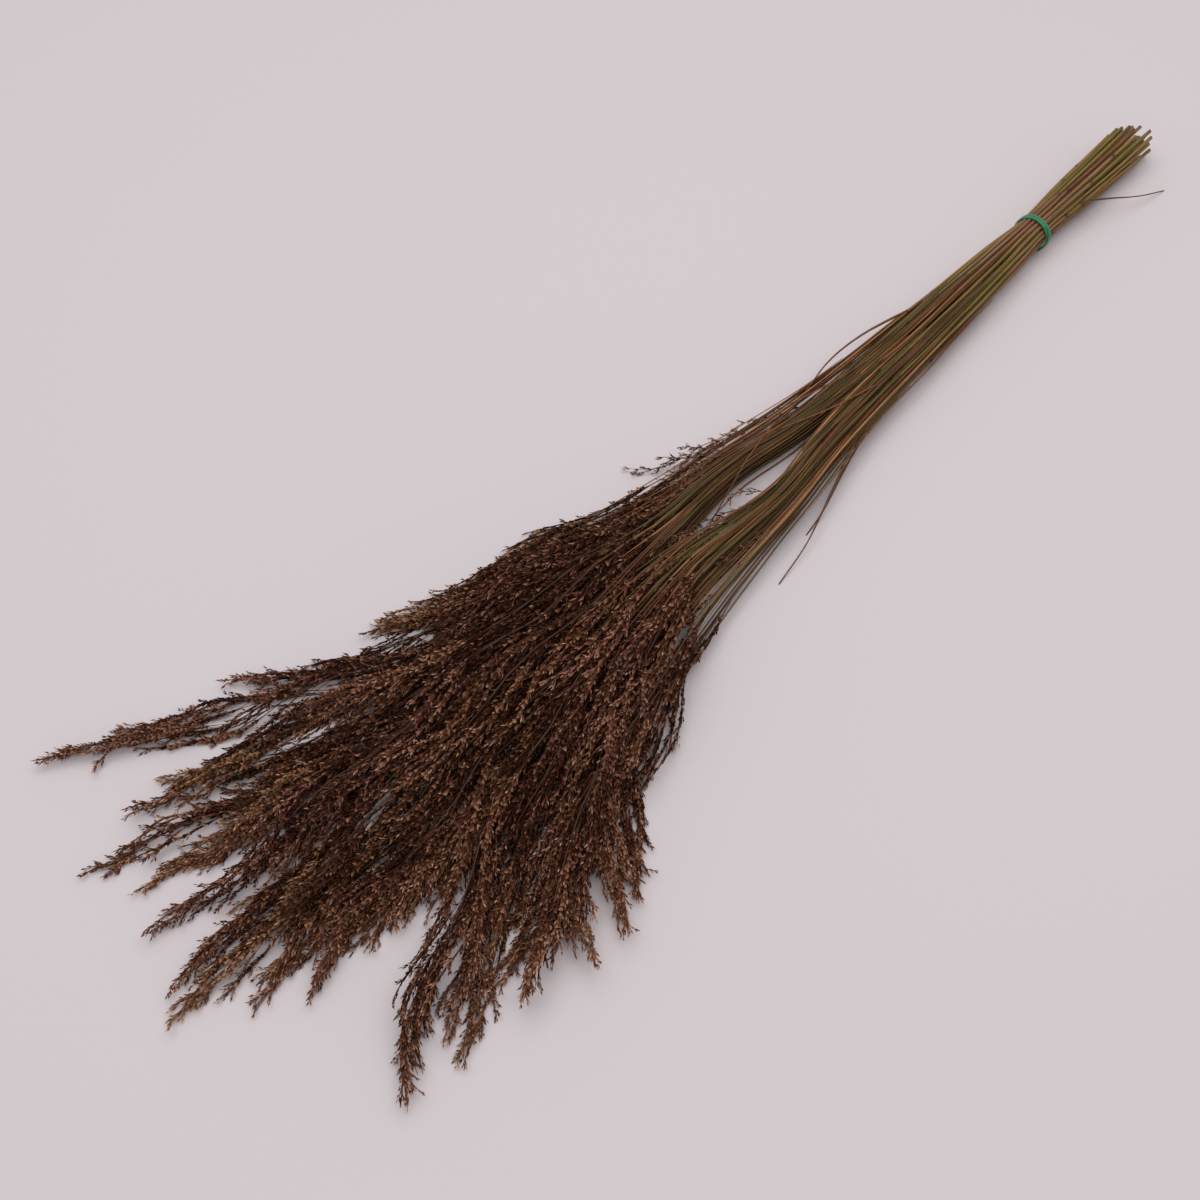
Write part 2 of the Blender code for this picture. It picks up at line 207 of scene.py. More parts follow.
def on_line(line, name, length):
    """What the line holds under that name at these lengths, read between its steps. A place past the
    end goes straight on."""
    held = np.clip(length, 0, line["length"][-1])
    if line[name].ndim == 1:
        return np.interp(held, line["length"], line[name])
    found = np.stack([np.interp(held, line["length"], axis) for axis in line[name].T], -1)
    if name == "place":
        found = found + (length - held)[..., None] * line["along"][-1]
    return found


def skin(name, corners, faces, layout, smooth=True):
    """A mesh object at the origin, from one array of corners, one array of faces for each number of sides,
    a face a row, and the layout: where each corner of each face lies on the piece's map."""
    mesh = bpy.data.meshes.new(name)
    order = np.concatenate([rows.ravel() for rows in faces]).astype(np.int32)
    sides = np.concatenate([np.full(len(rows), rows.shape[1]) for rows in faces])
    mesh.vertices.add(len(corners))
    mesh.vertices.foreach_set("co", corners.astype(np.float32).ravel())
    mesh.loops.add(len(order))
    mesh.loops.foreach_set("vertex_index", order)
    mesh.polygons.add(len(sides))
    mesh.polygons.foreach_set("loop_start", np.r_[0, np.cumsum(sides)[:-1]].astype(np.int32))
    mesh.polygons.foreach_set("use_smooth", np.full(len(sides), smooth))
    mesh.uv_layers.new(name="OFBake").uv.foreach_set("vector", layout.astype(np.float32).ravel())
    mesh.update(calc_edges=True)
    piece = bpy.data.objects.new(name, mesh)
    bpy.context.scene.collection.objects.link(piece)
    return piece


def paint(piece, **layers):
    """Gives the piece's corners their own numbers, or vectors, under each name."""
    for name, values in layers.items():
        kind, part = ("FLOAT_VECTOR", "vector") if values.ndim > 1 else ("FLOAT", "value")
        layer = piece.data.attributes.new(name, kind, "POINT")
        layer.data.foreach_set(part, values.astype(np.float32).ravel())


def tube_faces(rings, sides):
    """Four-sided faces from each ring of corners to the next, and one face with all its sides on each
    end, turned outwards for rings that go round from the side towards up."""
    ring, turn = np.meshgrid(np.arange(rings - 1), np.arange(sides), indexing="ij")
    here, there = ring * sides + turn, ring * sides + (turn + 1) % sides
    walls = np.stack([here, here + sides, there + sides, there], -1).reshape(-1, 4)
    last = (rings - 1) * sides + np.arange(sides)
    return walls, np.stack([np.arange(sides), last[::-1]])


def tube_layout(rings, sides, columns, first=0, of=None):
    """Where a tube's faces lie on its map: the tube is slit along, cut across into equal lengths, and the
    lengths stand side by side as columns. Both ends lie as discs in one more column."""
    of = of or columns + 1
    each = math.ceil((rings - 1) / columns)
    ring, turn = (axis.ravel() for axis in np.meshgrid(np.arange(rings - 1), np.arange(sides), indexing="ij"))
    left = (first + ring // each + 0.04 + 0.92 * turn / sides) / of
    right = left + 0.92 / sides / of
    low = 0.01 + 0.98 * (ring % each) / each
    high = low + 0.98 / each
    walls = np.stack([left, low, left, high, right, high, right, low], 1).reshape(-1, 2)
    angle = np.arange(sides) * 2 * math.pi / sides
    disc = np.stack([np.cos(angle), np.sin(angle)], 1) * 0.3 / of
    middle = (first + columns + 0.5) / of
    return np.concatenate([walls, disc + (middle, 0.25), disc[::-1] + (middle, 0.75)])


def add_node(finish, kind, inputs=None, **settings):
    """Adds a shader node of that kind to a finish. inputs maps a socket's name or number to its value,
    or to the output that is joined to it."""
    node = finish.node_tree.nodes.new(kind)
    for setting, value in settings.items():
        setattr(node, setting, value)
    for socket, value in (inputs or {}).items():
        if isinstance(value, bpy.types.NodeSocket):
            finish.node_tree.links.new(value, node.inputs[socket])
        else:
            node.inputs[socket].default_value = value
    return node


def add_colours(finish, by, stops):
    """A ramp of colours picked by one number; each stop is its place and its colour."""
    node = add_node(finish, "ShaderNodeValToRGB", {0: by})
    while len(node.color_ramp.elements) < len(stops):
        node.color_ramp.elements.new(0.5)
    for element, (place, colour) in zip(node.color_ramp.elements, stops):
        element.position = place
        element.color = (*colour, 1.0)
    return node.outputs["Color"]


def add_mix(finish, share, first, second, blend="MIX"):
    """Two colours mixed by a share from 0 to 1."""
    return add_node(
        finish, "ShaderNodeMix", {0: share, 6: first, 7: second}, data_type="RGBA", blend_type=blend
    ).outputs[2]


def add_shade(finish, colour, by):
    """A colour multiplied by another one, or by a number."""
    return add_mix(finish, 1.0, colour, by, "MULTIPLY")


def add_noise(finish, vector, stretch, detail, roughness=0.6):
    """Noise on a vector that is first multiplied by the stretch, axis by axis."""
    mapped = add_node(finish, "ShaderNodeMapping", {"Vector": vector, "Scale": stretch})
    inputs = {"Vector": mapped.outputs[0], "Scale": 1.0, "Detail": detail, "Roughness": roughness}
    return add_node(finish, "ShaderNodeTexNoise", inputs).outputs["Fac"]


def add_range(finish, value, low, high, to_low, to_high):
    """A number taken from one range to another, and kept inside it."""
    inputs = {0: value, 1: low, 2: high, 3: to_low, 4: to_high}
    return add_node(finish, "ShaderNodeMapRange", inputs).outputs[0]


def add_number(finish, name):
    """The number, or vector, that the piece's corners hold under this name."""
    return add_node(finish, "ShaderNodeAttribute", attribute_name=name).outputs


def add_hue(finish, patches, share):
    """The number that picks a colour: the piece's own ripeness plus a share of the slow noise."""
    ripeness = add_number(finish, "ripeness")["Fac"]
    inputs = {0: patches, 1: share, 2: ripeness}
    return add_node(finish, "ShaderNodeMath", inputs, operation="MULTIPLY_ADD").outputs[0]


def add_bump(finish, shader, height, strength, distance=0.0001):
    """Relief on the shader's surface, as high as the distance where the number is 1."""
    inputs = {"Strength": strength, "Distance": distance, "Height": height}
    bump = add_node(finish, "ShaderNodeBump", inputs)
    finish.node_tree.links.new(bump.outputs[0], shader.inputs["Normal"])


def new_finish(name, roughness=0.5, shine=0.35):
    """A new material and its shader."""
    finish = bpy.data.materials.new(name)
    finish.use_nodes = True
    shader = finish.node_tree.nodes["Principled BSDF"]
    shader.inputs["Roughness"].default_value = roughness
    shader.inputs["Specular IOR Level"].default_value = shine
    return finish, shader


def culm_finish():
    """Dried culm. The grain is a place on a cylinder of radius 1 whose height is the length along the culm,
    so noise drawn out along it makes streaks with no seam. Slow noise plus the culm's own ripeness picks
    the colour, streaks and specks darken it, and the joint and sheath numbers paint those parts."""
    finish, shader = new_finish("dried_culm")
    grain = add_number(finish, "grain")["Vector"]
    patches = add_noise(finish, grain, (0.4, 0.4, 14.0), 3.0)
    streaks = add_noise(finish, grain, (2.8, 2.8, 24.0), 6.0, 0.7)
    specks = add_noise(finish, grain, (5.0, 5.0, 400.0), 3.0)
    colour = add_colours(finish, add_hue(finish, patches, 0.9), CULM_COLOURS)
    colour = add_mix(finish, add_number(finish, "sheath")["Fac"], colour, (*SHEATH_COLOUR, 1.0))
    height = add_node(finish, "ShaderNodeSeparateXYZ", {0: grain}).outputs["Z"]
    past_end = add_range(finish, height, *PALE_END, 0.0, 1.0)
    colour = add_shade(finish, colour, add_mix(finish, past_end, PALE_END_TINT, (1.0, 1.0, 1.0, 1.0)))
    colour = add_shade(finish, colour, add_range(finish, streaks, 0.37, 0.64, 0.38, 1.42))
    colour = add_mix(finish, add_range(finish, specks, 0.58, 0.74, 0.0, 0.5), colour, (*SPECK_COLOUR, 1.0))
    colour = add_mix(finish, add_number(finish, "joint")["Fac"], colour, (*JOINT_COLOUR, 1.0))
    finish.node_tree.links.new(colour, shader.inputs["Base Color"])
    finish.node_tree.links.new(add_range(finish, streaks, 0.3, 0.7, 0.66, 0.44), shader.inputs["Roughness"])
    add_bump(finish, shader, streaks, 0.5, 0.00015)
    return finish


def bell(length, middle, reach):
    """1 at the middle, falling away on both sides to 0.37 at the reach."""
    return np.exp(-(((length - middle) / reach) ** 2))


def waved(line, plume_from, chance):
    """The line with its flowering part swung from side to side: two slow sines across it, whose size
    grows from nothing at the foot of the plume."""
    grown = np.clip((line["length"] - plume_from) / WAVE_GROWS_OVER, 0, 1) ** 2 * PLUME_WAVE
    phase = chance.uniform(0, 2 * math.pi, 2)
    pitch = chance.uniform(*WAVE_PITCH, 2)
    swing = grown[:, None] * np.sin(line["length"][:, None] * pitch + phase)
    places = line["place"] + swing[:, :1] * line["side"] + 0.5 * swing[:, 1:] * line["up"]
    return line_along(places, line["radius"], CULM_FINE_STEPS)


def culm(number, line, plume_from, chance):
    """One culm. Rings of corners stand square to the line at even steps, and closer at the joints. A ring's
    radius is the solid's, thinned by up to a quarter on the way to the plume, and from there it tapers as
    a square root to the tip. A joint swells it by up to a seventh, a sheath thickens it by a tenth of a
    millimetre. The cut end leans and is turned in to a hollow."""
    whole = line["length"][-1]
    joints = np.array([chance.uniform(*LOW_JOINT), chance.uniform(*HIGH_JOINT)])
    sheath_ends = joints + chance.uniform(*SHEATH_LENGTH, 2)
    length = np.r_[np.linspace(0, whole, CULM_RINGS), (joints[:, None] + JOINT_STEPS).ravel()]
    length = np.sort(np.r_[length, sheath_ends, sheath_ends - SHEATH_EDGE])
    at_plume = on_line(line, "radius", np.array(plume_from))
    taper = np.clip((length - plume_from) / (whole - plume_from), 0, 1) ** 0.5
    radius = on_line(line, "radius", length)
    radius = np.where(length > plume_from, at_plume + (TIP_RADIUS - at_plume) * taper, radius)
    slimmed = np.clip((length - SLIMS_FROM) / (plume_from - SLIMS_FROM), 0, 1)
    radius = radius * (1 - CULM_SLIMMING * slimmed)
    joint = bell(length[:, None], joints, JOINT_REACH) * chance.uniform(0.2, 1.0, 2)
    covers = (length[:, None] > joints + 0.0005) & (length[:, None] < sheath_ends)
    sheath = (covers & (chance.random(2) < SHEATH_CHANCE)).any(1).astype(float)
    radius = radius * (1 + JOINT_SWELL * joint.sum(1)) + SHEATH_THICKNESS * sheath
    side, up, along, middle = (on_line(line, name, length) for name in ("side", "up", "along", "place"))
    sway = CULM_SWAY * np.sin(length[:, None] * SWAY_PITCHES + chance.uniform(0, 2 * math.pi, 2))
    clear_of_table = middle[:, 2:] > 0.003
    middle = middle + sway[:, :1] * side + sway[:, 1:] * up * clear_of_table

    ends = np.r_[0, 0, np.arange(len(length))]
    radius = radius[ends]
    radius[:2] *= WALL_SHARE * 0.8, WALL_SHARE
    middle, side, up, along = middle[ends], side[ends], up[ends], along[ends]
    middle[0] += HOLLOW_DEPTH * along[0]
    turn = np.arange(CULM_SIDES) * 2 * math.pi / CULM_SIDES
    ring = np.cos(turn)[:, None] * side[:, None] + np.sin(turn)[:, None] * up[:, None]
    corners = middle[:, None] + radius[:, None, None] * ring
    lean = chance.uniform(-CUT_LEAN, CUT_LEAN, 2)
    leaning = (np.cos(turn) * lean[0] + np.sin(turn) * lean[1]) * radius[:3, None]
    corners[:3] += leaning[..., None] * along[:3, None]
    piece = skin(
        f"reed_{number:02d}_culm",
        corners.reshape(-1, 3),
        tube_faces(len(ends), CULM_SIDES),
        tube_layout(len(ends), CULM_SIDES, CULM_COLUMNS),
    )
    ripe = chance.uniform(*CULM_RIPENESS) + RIPER_UPWARDS * np.clip((length - 0.15) / 0.25, 0, 1)
    ripe = ripe + RIPER_IN_PLUME * np.clip((length - plume_from) / 0.07, 0, 1)
    each = np.repeat(ends, CULM_SIDES)
    cosine, sine = np.tile(np.cos(turn), len(ends)), np.tile(np.sin(turn), len(ends))
    grain = np.stack([cosine + GRAIN_APART * number, sine, length[each]], 1)
    paint(
        piece,
        grain=grain,
        ripeness=ripe[each],
        joint=np.clip(joint.sum(1) * 1.1, 0, 1)[each],
        sheath=(sheath * chance.uniform(0.2, 0.8))[each],
    )
    return piece


culm_material = culm_finish()
reed_names = sorted(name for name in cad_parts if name.startswith("reed_"))
# a plume starts at the last place before the solid's widest one where the solid is as slim as a culm
reed_lines = []
plume_starts = []
for number, name in enumerate(reed_names, start=1):
    middle, radius = rings_of(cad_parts[name], RING_GAP)
    fine = smooth_through(np.c_[middle, radius], np.linspace(0, len(middle) - 1, 4 * CULM_FINE_STEPS))
    line = line_along(fine[:, :3], fine[:, 3], CULM_FINE_STEPS)
    slim = np.flatnonzero(line["radius"][: int(np.argmax(line["radius"]))] < PLUME_FROM_RADIUS)
    plume_starts.append(line["length"][slim[-1]])
    line = waved(line, plume_starts[-1], np.random.default_rng(300 + number))
    reed_lines.append(line)
    piece = culm(number, line, plume_starts[-1], np.random.default_rng(100 + number))
    piece.data.materials.append(culm_material)
    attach(piece, "root")
    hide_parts(name)


# The leaves that cling: long dry leaves still joined to their culms, rolled up as thin as the culms and
# lying close along them from the joints to the plumes. They dried from olive green to copper brown.
LEAVES = 4
LEAF_RINGS = 20
LEAF_SIDES = 6
LEAF_ARC = 2.0
LEAF_HALF_WIDTH = (0.00034, 0.00068)
LEAF_WALL = 0.00016
LEAF_START = (0.150, 0.300)
LEAF_LENGTH = (0.16, 0.34)
LEAF_PAST_PLUME = 0.07
LEAF_AWAY = (0.0006, 0.0046)
BENT_AWAY = (0.006, 0.015)
LEAF_OFF_CULM = 0.0006
LEAF_WAVE = 0.0004
LOWEST_LEAF = 0.0002
LOWEST_LEAF_MIDDLE = 0.0008
LEAF_RIPENESS = (-0.30, 0.90)
BENT_RIPENESS = 0.72
TOP_CULMS_FROM = 0.74
HEIGHT_TAKEN_AT = 0.24
LEAF_COLOURS = (
    (0.00, (0.135, 0.125, 0.030)),
    (0.30, (0.150, 0.090, 0.028)),
    (0.55, (0.120, 0.046, 0.018)),
    (0.80, (0.330, 0.122, 0.040)),
    (1.00, (0.540, 0.240, 0.100)),
)


def leaf_finish():
    """Dry leaf. The map runs across the leaf and along it, so noise drawn out along it makes veins; it and
    slow patches, with the leaf's own ripeness, pick the colour. The veins are raised."""
    finish, shader = new_finish("dry_leaf_blade", 0.52)
    spread = add_node(finish, "ShaderNodeUVMap", uv_map="OFBake").outputs[0]
    veins = add_noise(finish, spread, (90.0, 5.0, 1.0), 4.0)
    patches = add_noise(finish, spread, (7.0, 9.0, 1.0), 3.0)
    colour = add_colours(finish, add_hue(finish, patches, 0.7), LEAF_COLOURS)
    colour = add_shade(finish, colour, add_range(finish, veins, 0.35, 0.65, 0.55, 1.25))
    finish.node_tree.links.new(colour, shader.inputs["Base Color"])
    add_bump(finish, shader, veins, 0.4)
    return finish


def rolled(middle, side, up, radius, turned, across):
    """The corners of a leaf rolled along a line: its section is a channel, an arc of that many corners across
    and the same arc back, one wall further in. The angle turned is where the channel's back points."""
    arc = np.linspace(-LEAF_ARC, LEAF_ARC, across)
    angle = turned[:, None] + np.r_[arc, arc[::-1]]
    inner = np.maximum(radius - LEAF_WALL, radius * 0.5)
    reach = np.repeat(np.stack([radius, inner], 1), across, 1)
    outward = np.cos(angle)[..., None] * side[:, None] + np.sin(angle)[..., None] * up[:, None]
    corners = middle[:, None] + reach[..., None] * outward
    corners[..., 2] = np.maximum(corners[..., 2], LOWEST_LEAF)
    return corners.reshape(-1, 3)


def clinging_leaves(number, line, plume_from, on_top, chance):
    """The leaves of one culm. Each starts against the culm at its own length, and its distance from the
    culm's middle grows from the culm's radius as the square of the share t of the way along the leaf. On
    a culm at the top of the sheaf the first one bends further away, over the culms beside it."""
    parts = {"corners": [], "walls": [], "ends": [], "wall_layout": [], "end_layout": [], "ripeness": []}
    t = np.linspace(0, 1, LEAF_RINGS)
    tapers = np.clip(6 * t + 0.5, 0, 1), np.clip(4.5 * (1 - t), 0.12, 1)
    walls, ends = tube_faces(LEAF_RINGS, LEAF_SIDES)
    for leaf in range(LEAVES):
        start = chance.uniform(*LEAF_START)
        reach = min(chance.uniform(*LEAF_LENGTH), plume_from + LEAF_PAST_PLUME - start)
        length = start + reach * t
        half = chance.uniform(*LEAF_HALF_WIDTH) * tapers[0] * tapers[1]
        side, up, place = (on_line(line, name, length) for name in ("side", "up", "place"))
        bent = on_top and leaf == 0
        round_it = chance.uniform(0.4, math.pi - 0.4) if bent else chance.uniform(-0.6, math.pi + 0.6)
        round_it = round_it + chance.uniform(-1.2, 1.2) * t
        away = chance.uniform(*(BENT_AWAY if bent else LEAF_AWAY))
        off = on_line(line, "radius", np.array(start)) + LEAF_OFF_CULM + away * t**2
        off = off + LEAF_WAVE * np.sin(length * 70 + chance.uniform(0, 6))
        middle = place + (off * np.cos(round_it))[:, None] * side + (off * np.sin(round_it))[:, None] * up
        middle[:, 2] = np.maximum(middle[:, 2], LOWEST_LEAF_MIDDLE)
        turned = chance.uniform(0, 6.28) + chance.uniform(-9, 9) * reach * t
        parts["corners"].append(rolled(middle, side, up, half, turned, LEAF_SIDES // 2))
        parts["walls"].append(walls + leaf * LEAF_RINGS * LEAF_SIDES)
        parts["ends"].append(ends + leaf * LEAF_RINGS * LEAF_SIDES)
        layout = tube_layout(LEAF_RINGS, LEAF_SIDES, 1, 2 * leaf, 2 * LEAVES)
        parts["wall_layout"].append(layout[: walls.size])
        parts["end_layout"].append(layout[walls.size :])
        ripe = (BENT_RIPENESS if bent else chance.random()) ** 1.5
        ripe = LEAF_RIPENESS[0] + LEAF_RIPENESS[1] * ripe + 0.1 * t
        parts["ripeness"].append(np.repeat(ripe, LEAF_SIDES))
    faces = np.concatenate(parts["walls"]), np.concatenate(parts["ends"])
    layout = np.concatenate(parts["wall_layout"] + parts["end_layout"])
    piece = skin(f"reed_{number:02d}_leaves", np.concatenate(parts["corners"]), faces, layout)
    paint(piece, ripeness=np.concatenate(parts["ripeness"]))
    return piece


leaf_material = leaf_finish()
heights = np.array([on_line(line, "place", np.array(HEIGHT_TAKEN_AT))[2] for line in reed_lines])
tops = heights > np.quantile(heights, TOP_CULMS_FROM)
for number, (line, plume_from) in enumerate(zip(reed_lines, plume_starts), start=1):
    piece = clinging_leaves(number, line, plume_from, tops[number - 1], np.random.default_rng(900 + number))
    piece.data.materials.append(leaf_material)
    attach(piece, "root")
    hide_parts(reed_names[number - 1])


# The plumes: the flower heads, dried a deep brown. Tufts of hair-thin branches lie close along the end
# of each culm. Every branch is an ear of tightly set husks, with short branchlets that carry looser
# husks two to three millimetres long. Where reeds lie over a plume it has lost some of its branches.

# how many branches, by how much other reeds cover the plume
BRANCHES = (28, 62)
COVERED_SHARE = (0.15, 0.95)
COVER_PLACES = 40
COVER_REACH = 0.007
COVER_HEIGHT = 0.003

# the plume's outline
PLUME_HALF_WIDTH = 0.0114
PLUME_FOOT = 0.080
PLUME_POINT = 0.060
PLUME_PAST_TIP = 0.004
PLUME_FLATNESS = 0.75

# its tufts and branches
TUFTS = 12
IN_TUFTS = 0.6
GOLDEN_TURN = 2.39996
FIRST_BRANCH = 0.012
BRANCH_ZONE = 0.86
BRANCH_LENGTH = (0.096, 0.048)
TUFT_SPREAD = (0.45, 1.15)
BRANCH_SPREAD = (0.75, 1.15)
WIDE_BRANCHES = 0.20
WIDE_SPREAD = 1.7
SPLAY = 0.30
BRANCH_SWAY = (0.0005, 0.0020)
LEADER_SWAY = 0.0002
PLUME_CURL = 0.003
TUFT_CURL = 0.0038
BRANCH_CURL = 0.0014
LEADER_CURL = 0.6
DROOP = 0.012
LOWEST_BRANCH = 0.0016
LOWEST_BEND = 0.0015
LOWEST_HUSK = 0.0003

# the leaders that make up its point
LEADERS = 9
LEADER_STARTS = np.array([0.084, 0.094, 0.076, 0.066, 0.048, 0.052, 0.038, 0.034, 0.026])
LEADER_ENDS = np.array([0.001, -0.040, -0.020, -0.031, -0.012, -0.024, -0.007, -0.015, -0.003])
LEADER_SPREADS = np.array([0.0, 0.9, 0.9, 1.3, 0.7, 1.0, 0.9, 0.7, 0.4])

# the strays on the bare culm before it, and the branches under the culm
STRAYS = 2
STRAY_STARTS = (0.005, 0.060)
STRAY_LENGTH = (0.026, 0.052)
STRAY_SPREAD = 2.2
STRAY_THICKNESS = 0.36
STRAY_HUSKS = 0.75
STRAY_PALER = (0.10, 0.16)
BELOW_WIDER = 0.3
BELOW_THICKER = 0.5
# painted shade: the branches under the culm are given a darker tone
BELOW_PAINTED_SHADE = 0.04

# the ears
STALK_SHARE = 0.22
STALK_RADIUS = 0.00016
WHORLS = 17
WHORL_RADIUS = (0.00044, 0.00098)
WHORL_UNEVEN = (-0.45, 0.35)
WHORL_AHEAD = (-0.15, 0.5)
WHORL_TURN = math.radians(76)
THREE_SIDES = np.arange(3) * 2 * math.pi / 3

# the branchlets
BRANCHLETS = 8
BRANCHLET_LEAN = (14, 34)
BRANCHLET_LENGTH = 0.0074
BRANCHLET_SHORTER = 0.0024
BRANCHLET_RADIUS = 0.00028
BRANCHLET_FACES = ((0, 1, 3), (1, 2, 3), (2, 0, 3), (2, 1, 0))

# the loose husks
HUSKS = 6
HUSK_ZONE = 0.86
HUSK_LEAN = (6, 22)
HUSK_OFF_THREAD = 0.00025
HUSK_LENGTH = (0.0019, 0.0030)
HUSK_HALF_WIDTH = (0.00041, 0.00062)
HUSK_BELLY = 0.40
HUSK_SIDES = np.array([-1.05, 1.05])
HUSK_FACES = ((0, 1, 2), (0, 2, 3), (0, 3, 1), (1, 3, 2))

# tones and hues, as places on the colour card
HUSK_TONE = 0.35
HUSK_UNEVEN = 0.24
# painted light and shade: husks further out from the culm are paler, those further in darker
OUTER_PAINTED_LIGHT = 0.24
EVEN_SPREAD = 0.65
# the darkest husk tone allowed rises towards the plume's end: painted light there
DARKEST_HUSK = (0.20, 0.50)
PALEST_HUSK = 0.80
HUSK_FOOT_DARKER = (0.15, 0.05)
HUSK_POINT_PALER = 0.20
END_REACH = (0.060, 0.050)
# painted light: husks paler towards the plume's end
END_PAINTED_LIGHT = (0.015, 0.12)
EAR_TONES = (0.22, 0.57)
EAR_UNEVEN = 0.19
EAR_POINT_PALER = 0.19
# painted shade: the grooves between the whorls of an ear are darker
EAR_GROOVE_PAINTED_SHADE = 0.15
# painted light: ears paler towards the plume's end
EAR_END_PAINTED_LIGHT = (0.07, 0.06)
PLUME_TONE = 0.05
PLUME_HUE = (0.5, 0.20)
TUFT_UNEVEN = 0.11
HUES = (0.03, 0.97)
HUE_STEP = 0.012
BRANCHLET_ON_CARD = ((0.005, 0.1), (0.035, 0.1), (0.02, 0.9))
HUSK_COLOURS = (
    (0.00, (0.130, 0.062, 0.038)),
    (0.06, (0.130, 0.062, 0.038)),
    (0.09, (0.005, 0.0013, 0.0008)),
    (0.34, (0.028, 0.0090, 0.0045)),
    (0.56, (0.140, 0.056, 0.032)),
    (0.78, (0.390, 0.225, 0.150)),
    (1.00, (0.800, 0.600, 0.460)),
)
HUSK_TINTS = ((0.0, (0.90, 0.74, 0.80)), (0.5, (1.0, 0.86, 0.78)), (1.0, (0.98, 0.96, 0.70)))


def husk_finish():
    """Dried husks. The map is a colour card: tone runs from dark at the left to pale at the right, and hue
    from purple brown at the bottom to olive gold at the top. A husk lies there at its own tone and hue,
    its foot a little darker and its point a little paler. The left edge is the colour of the branchlets."""
    finish, shader = new_finish("dried_husk", 0.60, 0.05)
    spread = add_node(finish, "ShaderNodeUVMap", uv_map="OFBake").outputs[0]
    parts = add_node(finish, "ShaderNodeSeparateXYZ", {0: spread}).outputs
    colour = add_colours(finish, parts["X"], HUSK_COLOURS)
    colour = add_shade(finish, colour, add_colours(finish, parts["Y"], HUSK_TINTS))
    fleck = add_noise(finish, spread, (160.0, 60.0, 1.0), 2.0)
    colour = add_shade(finish, colour, add_range(finish, fleck, 0.3, 0.7, 0.72, 1.28))
    finish.node_tree.links.new(colour, shader.inputs["Base Color"])
    return finish


def square_to(axis):
    """Two directions square to each axis and to each other, which turn anticlockwise round it."""
    first = unit(np.cross(axis, np.array([0.31, -0.45, 0.84])))
    return first, np.cross(axis, first)


def ring_round(axis, angle):
    """The directions at these angles round each axis, square to it."""
    first, second = (direction[..., None, :] for direction in square_to(axis))
    return np.cos(angle)[..., None] * first + np.sin(angle)[..., None] * second


def share_covered(lines, starts):
    """How much of each plume lies under other reeds: at forty places along it, whether another line passes
    higher and within the cover's reach to the side. Then the share of those places."""
    across = np.linspace(0.0, 0.98, COVER_PLACES)
    places = np.array(
        [
            on_line(line, "place", start + (line["length"][-1] - start) * across)
            for line, start in zip(lines, starts)
        ]
    )
    covered = []
    for own in places:
        apart = places[:, None] - own[None, :, None]
        near = np.hypot(apart[..., 0], apart[..., 1]) < COVER_REACH
        covered.append((near & (apart[..., 2] > COVER_HEIGHT)).any((0, 2)).mean())
    return np.array(covered)


def branch_plan(line, plume_from, branches, chance):
    """Where the branches of one plume go. The side branches are numbered from the plume's foot to its point
    and drawn together into tufts, which turn round the culm by the golden angle and lie to its sides more
    than over and under it. The first two are strays, on the bare culm before the plume. The leaders come
    last and make up the point, around one that is nearly straight. Branches under the culm stand off
    further."""
    whole = line["length"][-1]
    side_branches = branches - LEADERS
    straight = side_branches
    stray = np.arange(branches) < STRAYS
    leader = np.arange(branches) >= side_branches
    rank = (np.arange(side_branches) + 0.5) / side_branches
    tuft = np.floor(rank * TUFTS).astype(int)
    along = IN_TUFTS * tuft / TUFTS + (1 - IN_TUFTS) * rank + chance.normal(0, 0.006, side_branches)
    start = plume_from - FIRST_BRANCH + (whole - plume_from) * BRANCH_ZONE * along
    reach = np.interp(rank, (0, 1), BRANCH_LENGTH) * chance.uniform(0.75, 1.2, side_branches)
    reach = np.minimum(reach, (whole - start) * chance.uniform(0.70, 0.95, side_branches))
    start = np.r_[start, whole - LEADER_STARTS]
    start[stray] = plume_from - chance.uniform(*STRAY_STARTS, STRAYS)
    reach = np.r_[reach, LEADER_STARTS + LEADER_ENDS]
    reach[stray] = chance.uniform(*STRAY_LENGTH, STRAYS)
    tuft = np.r_[tuft, TUFTS + np.arange(LEADERS)]
    spread = chance.uniform(*TUFT_SPREAD, TUFTS + LEADERS)[tuft] * chance.uniform(*BRANCH_SPREAD, branches)
    spread *= np.where(chance.random(branches) < WIDE_BRANCHES, WIDE_SPREAD, 1.0)
    spread[leader] = LEADER_SPREADS
    spread[stray] *= STRAY_SPREAD
    heading = tuft * GOLDEN_TURN + chance.uniform(-0.45, 0.45, branches)
    heading -= SPLAY * np.sin(2 * heading)
    below = np.where(leader, 0.0, np.clip(-np.sin(heading), 0, 1)) * ~stray
    spread *= 1 + BELOW_WIDER * below
    twist = chance.normal(0, 0.5, TUFTS + LEADERS)[tuft] + chance.normal(0, 0.15, branches)
    sway = chance.uniform(0, 2 * math.pi, (2, branches))
    sway_size = chance.uniform(*BRANCH_SWAY, branches)
    curl = chance.normal(chance.uniform(-PLUME_CURL, PLUME_CURL), TUFT_CURL, TUFTS + LEADERS)[tuft]
    curl += chance.normal(0, BRANCH_CURL, branches)
    curl[leader] *= LEADER_CURL
    droop = DROOP * chance.uniform(0, 1, branches)
    curl[straight], sway_size[straight], droop[straight] = 0.0, LEADER_SWAY, 0.0
    plan = {"line": line, "plume_from": plume_from, "whole": whole, "start": start, "reach": reach}
    plan |= {"stray": stray, "leader": leader, "below": below, "tuft": tuft, "spread": spread}
    plan |= {"heading": heading, "twist": twist, "sway": sway, "sway_size": sway_size}
    return plan | {"curl": curl, "droop": droop}


